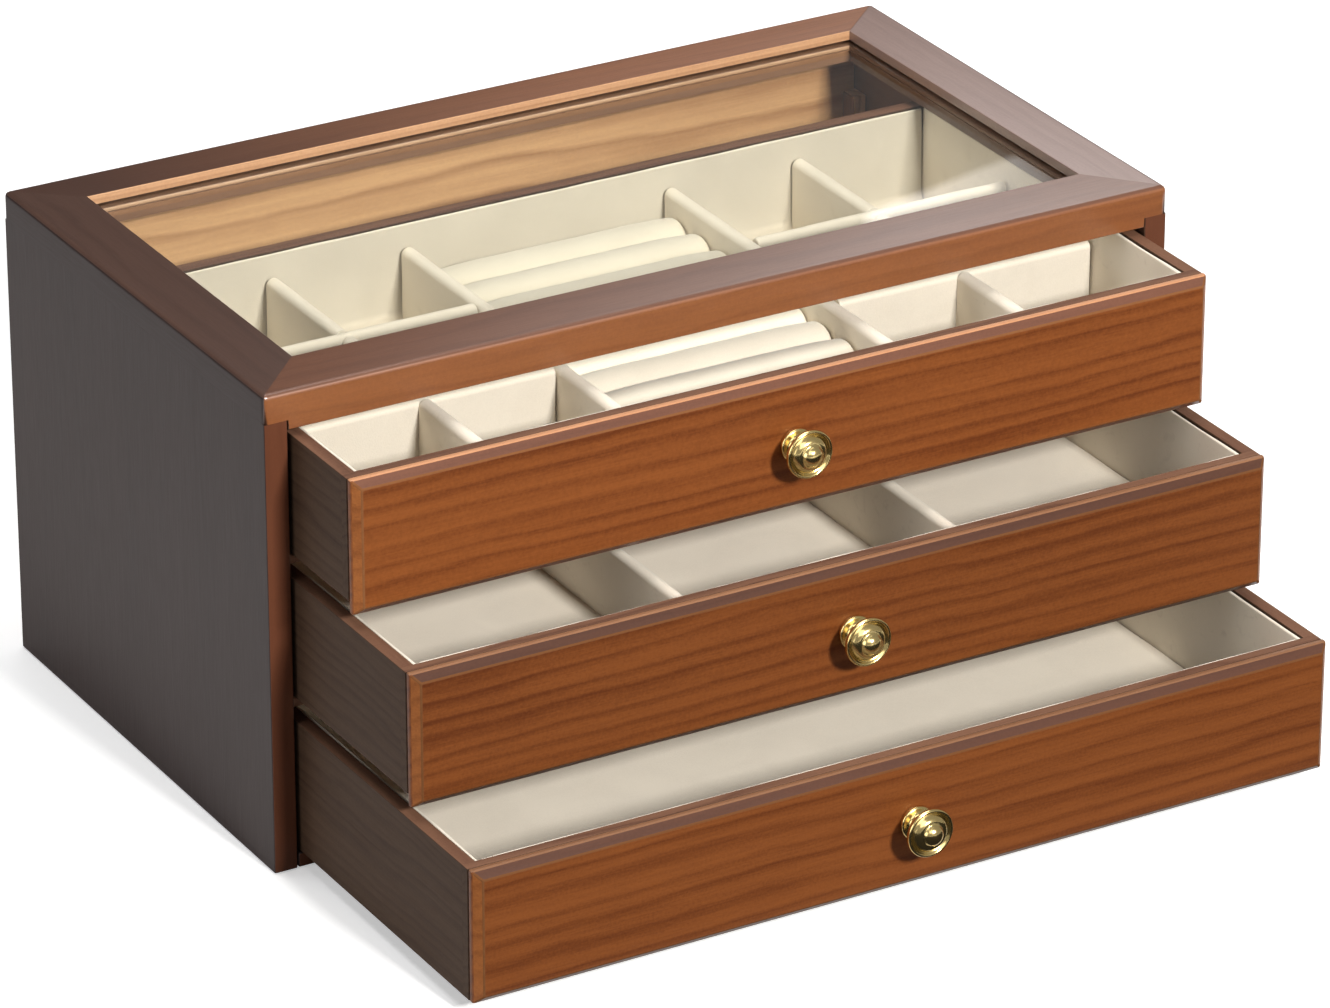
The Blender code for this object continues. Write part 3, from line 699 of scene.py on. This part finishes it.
def velvet(name, pale, dark, seed, painted_light_gain=PAINTED_LIGHT_GAIN):
    """Short pile with soft patches where it lies another way. Where it looks up or to the left it is
    multiplied by a gain, painted light that brightens those faces."""
    made, tree, shader = new_finish(name, {"Roughness": 0.95, "Sheen Weight": 0.25, "Sheen Roughness": 0.45})
    tool = Signal(tree, None)
    place = tool.node("ShaderNodeTexCoord", {}, {}, out="Object")
    facing = tool.node("ShaderNodeTexCoord", {}, {}, out="Normal")

    def mottle(settings):
        """Noise over the velvet."""
        return tool.node("ShaderNodeTexNoise", {}, {"Vector": place, **settings})

    patch = mottle({"Scale": 45.0 + seed, "Detail": 3.0, "Distortion": 0.6})
    brushed = mottle({"Scale": 210.0 + seed, "Detail": 4.0, "Distortion": 1.2})
    pile = mottle({"Scale": 2600.0, "Detail": 2.0})
    sideways = (0 - facing.axis(0)).clamped()
    upward = facing.axis(2).clamped()
    shade = (patch - 0.35) * 1.1 + (pile - 0.5) * 0.7 + sideways * ((brushed - 0.66) * 2.8)
    colour = shade.clamped().blend((*pale, 1), (*dark, 1))
    multiply = {"data_type": "RGBA", "blend_type": "MULTIPLY"}
    bright = tool.node("ShaderNodeMix", multiply, {0: 1.0, 6: colour, 7: painted_light_gain}, out=2)
    # Painted light: faces that look up or to the left are brightened.
    (sideways * 1.5 + upward).blend(colour, bright).feed(shader, "Base Color")
    relief = {"Strength": 0.35, "Distance": 0.0002, "Height": pile}
    tool.node("ShaderNodeBump", {}, relief).feed(shader, "Normal")
    return made


LINING_WALL = 0.0015
LINING_FLOOR = 0.003
CREST = 0.0009
CREST_TAPER = 0.0003
CREST_STEPS = 6
HOLLOW = 0.0038
HOLLOW_STEPS = 7
WALL_STEPS = 7
FLOOR_STEPS = 32
SIDE_STEPS = 12
SHEET_GAP = 0.00005
SEAM_ROUND = 0.0005
SEAM_TURNS = (0, 0.4, 0.8, 1.2)
PADDING_STEP = 0.004
LINING_LOOSE = 0.00022
LINING_SWELL = 0.016


def arc(centre, radius, start, end, steps=HOLLOW_STEPS):
    """Points along part of a circle, angles in degrees."""
    turns = [radians(start + (end - start) * step / steps) for step in range(steps + 1)]
    return [(centre[0] + radius * cos(turn), centre[1] + radius * sin(turn)) for turn in turns]


def between(start, end, steps):
    """The points strictly between two points."""
    shares = [step / steps for step in range(1, steps)]
    return [tuple(near + (far - near) * share for near, far in zip(start, end)) for share in shares]


def stations(start, end, step, rounding=SEAM_ROUND):
    """Places along a length, and how far in the skin draws there, which rounds both ends."""
    rounds = [(rounding * (1 - cos(turn)), rounding * (1 - sin(turn))) for turn in SEAM_TURNS]
    straight = end - start - 2 * rounding
    count = max(2, round(straight / step))
    middle = [(start + rounding + straight * number / count, 0) for number in range(count + 1)]
    first = [(start + ahead, inset) for ahead, inset in rounds]
    last = [(end - ahead, inset) for ahead, inset in reversed(rounds)]
    return first + middle + last


def loosen(shape, amount, size):
    """Move each point a little along its normal, so that the fabric isn't dead flat."""
    shape.normal_update()
    moves = [vert.normal * (amount * noise.noise(vert.co / size)) for vert in shape.verts]
    for vert, move in zip(shape.verts, moves):
        vert.co += move


def lining_sheet(low, high):
    """The sheet down the front wall, along the floor and up the back wall."""
    rings = []
    for x, inset in stations(low.x + LINING_WALL + SHEET_GAP, high.x - LINING_WALL - SHEET_GAP, PADDING_STEP):
        top, floor_z, thick = high.z - CREST / 2 - inset, low.z + LINING_FLOOR - inset, LINING_WALL - inset
        front, back = low.y + thick, high.y - thick
        crest = CREST - min(inset, CREST_TAPER)
        hollow_z = floor_z + HOLLOW
        ring = [(low.y, low.z), (low.y, top)]
        ring += arc((low.y + crest / 2, top), crest / 2, 180, 0, CREST_STEPS)[1:]
        ring += between((low.y + crest, top), (front, hollow_z), WALL_STEPS)
        ring += arc((front + HOLLOW, hollow_z), HOLLOW, 180, 270)
        ring += between((front + HOLLOW, floor_z), (back - HOLLOW, floor_z), FLOOR_STEPS)
        ring += arc((back - HOLLOW, hollow_z), HOLLOW, 270, 360)
        ring += between((back, hollow_z), (high.y - crest, top), WALL_STEPS)
        ring += arc((high.y - crest / 2, top), crest / 2, 180, 0, CREST_STEPS)
        ring += [(high.y, low.z)]
        rings.append([(x, y, z) for y, z in ring])
    return swept(rings)


def lining_side(low, high, side):
    """A padded side, left (-1) or right (1), thinner at its top."""
    outer = low.x if side < 0 else high.x
    rings = []
    for y, inset in stations(low.y, high.y, PADDING_STEP):
        thick, top = LINING_WALL - inset, high.z - CREST / 2 - inset
        crest = CREST - min(inset, CREST_TAPER)
        ring = [(0, low.z), (0, top)] + arc((crest / 2, top), crest / 2, 180, 0, CREST_STEPS)[1:]
        ring += between((crest, top), (thick, low.z), SIDE_STEPS) + [(thick, low.z)]
        rings.append([(outer - side * away, y, z) for away, z in ring])
    return swept(rings)


lining_velvet = velvet("lining_velvet", *VELVET, 0)
for name in LEVELS:
    node = name + "_lining"
    low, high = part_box(node)
    shape = lining_sheet(low, high)
    for side in (-1, 1):
        panel = lining_side(low, high, side)
        panel_mesh = bpy.data.meshes.new("padded_side")
        panel.to_mesh(panel_mesh)
        panel.free()
        shape.from_mesh(panel_mesh)
        bpy.data.meshes.remove(panel_mesh)
    loosen(shape, LINING_LOOSE, LINING_SWELL)
    lining = piece(node + "_velvet", shape, name, [lining_velvet], node, crease=60)

# Dividers: boards wrapped in the same velvet, with full round tops. Those across the drawer
# flare softly into the floor, and cross the long ones in halving laps.
FLARE = 0.0036
DIVIDER_SIDE_STEPS = 6
DIVIDER_TOP_STEPS = 12
DIVIDER_DIP = 0.0003
DIVIDER_LOOSE = 0.00018
DIVIDER_SWELL = 0.012
LAP_GAP = 0.00008
LAP_CLEAR = 0.0004
LAP_STEP = 0.00001
divider_velvet = velvet("divider_velvet", *VELVET, 5)


def divider_outline(half, low, high, flare):
    """The outline of a divider, from one foot over the top to the other."""
    top = high - half
    outline = arc((-half - flare, low + flare), flare, 270, 360) if flare else [(-half, low)]
    outline += between(outline[-1], (-half, top), DIVIDER_SIDE_STEPS)
    outline += arc((0, top), half, 180, 0, DIVIDER_TOP_STEPS)
    outline += between((half, top), (half, low + flare), DIVIDER_SIDE_STEPS)
    return outline + (arc((half + flare, low + flare), flare, 180, 270) if flare else [(half, low)])


def divider(node, body, along, flare=0.0, laps=(), under=False):
    """A padded divider along x (0) or y (1). At its laps only its upper or its lower half runs."""
    low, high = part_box(node)
    across = 1 - along
    half = (high[across] - low[across]) / 2
    centre = (high[across] + low[across]) / 2
    lap = (low.z + high.z) / 2
    places = [(place, inset, False) for place, inset in stations(low[along], high[along], PADDING_STEP)]
    for start, end in laps:
        places = [entry for entry in places if not start - LAP_CLEAR < entry[0] < end + LAP_CLEAR]
        places += [(start, 0, False), (start + LAP_STEP, 0, True), (end - LAP_STEP, 0, True), (end, 0, False)]
    rings = []
    for place, inset, lapped in sorted(places):
        foot, crown = low.z - DIVIDER_DIP, high.z - inset
        ring = []
        for away, z in divider_outline(half - inset, foot, crown, max(flare - inset, 0)):
            if lapped:
                away = max(-half, min(half, away))
                z = min(z, lap - LAP_GAP) if under else max(z, lap + LAP_GAP)
            ring.append((place, centre + away, z) if along == 0 else (centre + away, place, z))
        rings.append(ring)
    shape = swept(rings)
    loosen(shape, DIVIDER_LOOSE, DIVIDER_SWELL)
    made = piece(node + "_velvet", shape, body, [divider_velvet], node, crease=60)


crossed = [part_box("row_divider_left_" + end) for end in ("front", "back")]
for number in (1, 2, 3, 4):
    laps = [(low.y - LAP_GAP, high.y + LAP_GAP) for low, high in crossed] if number in (1, 4) else ()
    divider(f"cross_divider_{number}", "drawer_top", 1, laps=laps, under=True)
for side, number in (("left", 1), ("right", 4)):
    low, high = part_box(f"cross_divider_{number}")
    for end in ("front", "back"):
        laps = [(low.x - LAP_GAP, high.x + LAP_GAP)]
        divider(f"row_divider_{side}_{end}", "drawer_top", 0, flare=FLARE, laps=laps)
for number in (1, 2):
    divider(f"column_divider_{number}", "drawer_middle", 1)

# Ring rolls: velvet drawn over soft cores and packed side by side, so that rings stand between.
# Their tops are round, and both ends are rounded over and sink a little.
ROLL_CREAM = ((0.76, 0.7, 0.58), (0.65, 0.59, 0.48))
ROLL_COUNT = 9
ROLL_END = 0.0024
ROLL_DROOP = 0.0009
DROOP_LENGTH = 0.016
ROLL_FULLNESS = 0.00006
ROLL_FOOT = 0.0008
ROLL_LIFT = 0.001
ROLL_STEP = 0.003
ROLL_SIDE_STEPS = 5
ROLL_TOP_STEPS = 18
ROLL_LOOSE = 0.0002
ROLL_SWELL = 0.011
roll_velvet = velvet("roll_velvet", *ROLL_CREAM, 9, painted_light_gain=WHITE)
for number in range(1, ROLL_COUNT + 1):
    node = f"ring_roll_{number}"
    low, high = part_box(node)
    centre = (low.y + high.y) / 2
    rings = []
    for x, inset in stations(low.x, high.x, ROLL_STEP, ROLL_END):
        nearness = 1 - min(x - low.x, high.x - x, DROOP_LENGTH) / DROOP_LENGTH
        half = (high.y - low.y) / 2 + ROLL_FULLNESS - inset
        top = high.z - ROLL_DROOP * nearness ** 2 - inset - half
        bottom = low.z + min(inset, ROLL_LIFT)
        foot = bottom + ROLL_FOOT
        ring = [(-half + ROLL_FOOT, bottom), (-half, foot)]
        ring += between((-half, foot), (-half, top), ROLL_SIDE_STEPS)
        ring += arc((0, top), half, 180, 0, ROLL_TOP_STEPS)
        ring += between((half, top), (half, foot), ROLL_SIDE_STEPS)
        ring += [(half, foot), (half - ROLL_FOOT, bottom)]
        rings.append([(x, centre + away, z) for away, z in ring])
    shape = swept(rings)
    loosen(shape, ROLL_LOOSE, ROLL_SWELL)
    roll = piece(node + "_velvet", shape, "drawer_top", [roll_velvet], node, crease=70)

# Knobs: turned brass, polished and gilded, with a dome set in a rolled rim, a waisted neck and
# a small flange. A stud goes through both fronts. The outline is in shares of the radius and of
# the reach, from the dome's tip to where the stud leaves the flange.
GOLD_BRIGHT = (0.9, 0.7, 0.32, 1)
GOLD_DULL = (0.72, 0.53, 0.2, 1)
GOLD_POLISH = 0.13
TARNISH_SCALE = 420.0
TARNISH_DULLING = 0.12
KNOB_OUTLINE = (
    (0.0, 1.0), (0.12, 0.994), (0.24, 0.97), (0.34, 0.93), (0.4, 0.887), (0.435, 0.84), (0.465, 0.82),
    (0.54, 0.822), (0.61, 0.803), (0.68, 0.765), (0.735, 0.722), (0.77, 0.69), (0.8, 0.675),
    (0.83, 0.685), (0.87, 0.72), (0.91, 0.738), (0.95, 0.735), (0.985, 0.71), (1.0, 0.67),
    (0.985, 0.625), (0.93, 0.585), (0.82, 0.54), (0.67, 0.48), (0.53, 0.4), (0.45, 0.31),
    (0.43, 0.24), (0.46, 0.19), (0.53, 0.155), (0.62, 0.145), (0.68, 0.125), (0.7, 0.085),
    (0.69, 0.03), (0.29, 0.03),
)
KNOB_STEPS = 64
gold, gold_tree, gold_shader = new_finish("polished_gold", {"Metallic": 1})
place = Signal(gold_tree, None).node("ShaderNodeTexCoord", {}, {}, out="Object")
tarnish = place.node("ShaderNodeTexNoise", {}, {"Vector": place, "Scale": TARNISH_SCALE, "Detail": 3.0})
tarnish.blend(GOLD_BRIGHT, GOLD_DULL).feed(gold_shader, "Base Color")
(GOLD_POLISH + tarnish * TARNISH_DULLING).feed(gold_shader, "Roughness")
for name in LEVELS:
    node = name + "_knob"
    low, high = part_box(node)
    radius = (high.x - low.x) / 2
    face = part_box(name + "_front")[0].y
    reach = face - low.y
    outline = [(share * radius, height * reach) for share, height in KNOB_OUTLINE]
    outline += [(outline[-1][0], face - high.y), (0, face - high.y)]
    centre = Vector(((low.x + high.x) / 2, face, (low.z + high.z) / 2))
    shape = bmesh.new()
    rows = []
    for distance, height in outline:
        steps = KNOB_STEPS if distance else 1
        angles = [2 * pi * step / KNOB_STEPS for step in range(steps)]
        rows.append([
            shape.verts.new(centre + Vector((distance * cos(angle), -height, distance * sin(angle))))
            for angle in angles
        ])
    for upper, lower in zip(rows, rows[1:]):
        for step in range(KNOB_STEPS):
            after = (step + 1) % KNOB_STEPS
            ends = [(upper, step), (lower, step), (lower, after), (upper, after)]
            shape.faces.new(dict.fromkeys(row[turn % len(row)] for row, turn in ends))
    bmesh.ops.recalc_face_normals(shape, faces=shape.faces)
    piece(name + "_gilt_knob", shape, name, [gold], node, crease=50)
